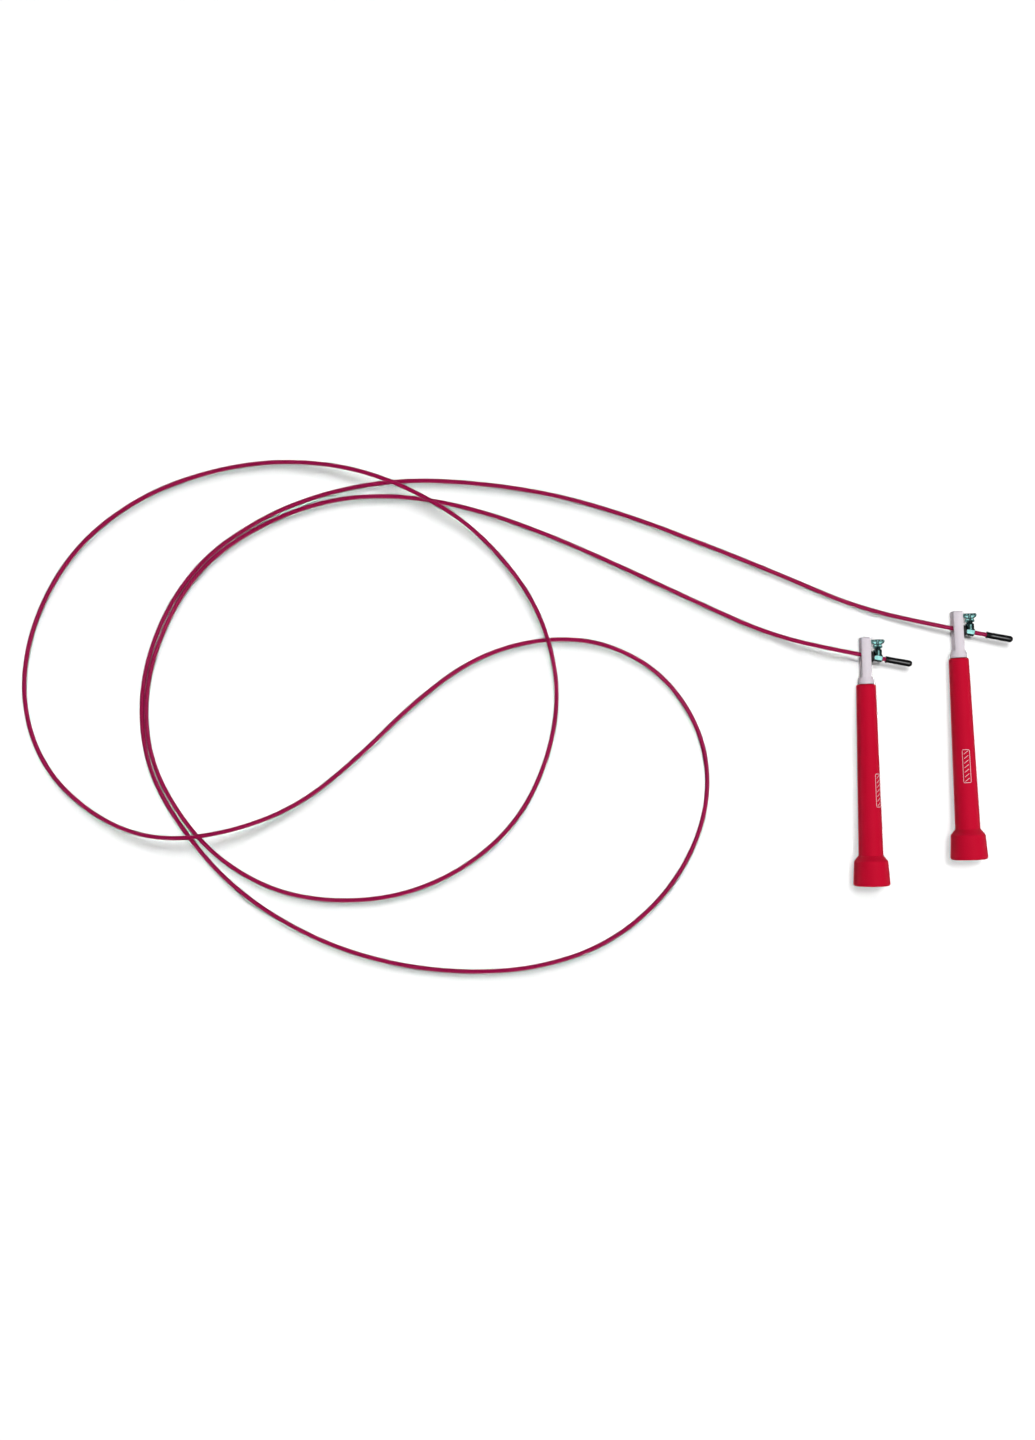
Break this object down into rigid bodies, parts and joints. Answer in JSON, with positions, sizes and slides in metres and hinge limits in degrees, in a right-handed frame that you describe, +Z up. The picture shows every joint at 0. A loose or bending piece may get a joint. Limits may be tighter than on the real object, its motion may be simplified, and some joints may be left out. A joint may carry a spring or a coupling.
{
  "type": "jump_rope",
  "caption": "Speed jump rope with bell-ended red grips, white swivel heads, a coated steel cable in loose coils, wing-screw length clamps and black end caps.",
  "frame": {"origin": "On the surface that the rope lies on, midway between the two handles and halfway from their bells to their heads.", "axes": "+Y runs along the handles from the bells to the heads, +Z is up from the surface, +X runs from the left handle to the right one; the coils lie towards -X."},
  "size_m": [0.6593, 0.3426, 0.0239],
  "materials": {
    "jacket": "translucent extruded PVC jacket over a steel wire core",
    "grip_plastic": "fine satin, injection moulded",
    "head_plastic": "turned acetal, satin",
    "bushing_plastic": "natural acetal",
    "plated_steel": "bright zinc plate",
    "washer_rubber": "matt black",
    "cap_vinyl": "dip-moulded vinyl, semi-gloss"
  },
  "bodies": {
    "rope": {"cable": "jacket", "right_end_cap": "cap_vinyl", "left_end_cap": "cap_vinyl"},
    "right_clamp": {"right_clamp_body": "plated_steel", "right_cable_washer": "washer_rubber"},
    "right_wing": {"right_wing_screw": "plated_steel"},
    "right_swivel": {"right_head": "head_plastic", "right_axle_screw": "plated_steel", "right_thrust_washer": "plated_steel"},
    "right_handle": {"right_grip": "grip_plastic", "right_bushing": "bushing_plastic", "right_end_plug": "grip_plastic"},
    "left_clamp": {"left_clamp_body": "plated_steel", "left_cable_washer": "washer_rubber"},
    "left_wing": {"left_wing_screw": "plated_steel"},
    "left_swivel": {"left_head": "head_plastic", "left_axle_screw": "plated_steel", "left_thrust_washer": "plated_steel"},
    "left_handle": {"left_grip": "grip_plastic", "left_bushing": "bushing_plastic", "left_end_plug": "grip_plastic"}
  },
  "joints": [
    {"name": "right_clamp_slide", "type": "slide", "parent": "rope", "child": "right_clamp", "axis": [0.984, -0.1784, 0], "range_m": [0, 0.008]},
    {"name": "right_wing_turn", "type": "hinge", "parent": "right_clamp", "child": "right_wing", "pos_m": [0.03456, 0.07718, 0.0056], "axis": [-0.0401, 0.9992, 0], "range_deg": [0, 720]},
    {"name": "right_head_swivel", "type": "hinge", "parent": "rope", "child": "right_swivel", "pos_m": [0.02606, 0.07872, 0.0056], "axis": [0.9992, 0.0401, 0], "continuous": true},
    {"name": "right_grip_spin", "type": "hinge", "parent": "right_swivel", "child": "right_handle", "pos_m": [0.02606, 0.07872, 0.0056], "axis": [-0.0401, 0.9983, -0.0423], "continuous": true},
    {"name": "left_clamp_slide", "type": "slide", "parent": "rope", "child": "left_clamp", "axis": [0.9846, -0.1748, 0], "range_m": [0, 0.0023]},
    {"name": "left_wing_turn", "type": "hinge", "parent": "left_clamp", "child": "left_wing", "pos_m": [-0.02662, 0.05988, 0.0056], "axis": [-0.0192, 0.9998, 0], "range_deg": [0, 720]},
    {"name": "left_head_swivel", "type": "hinge", "parent": "rope", "child": "left_swivel", "pos_m": [-0.03503, 0.06138, 0.0056], "axis": [0.9998, 0.0192, 0], "range_deg": [-150, 150]},
    {"name": "left_grip_spin", "type": "hinge", "parent": "left_swivel", "child": "left_handle", "pos_m": [-0.03503, 0.06138, 0.0056], "axis": [-0.0192, 0.9989, -0.0423], "continuous": true}
  ]
}
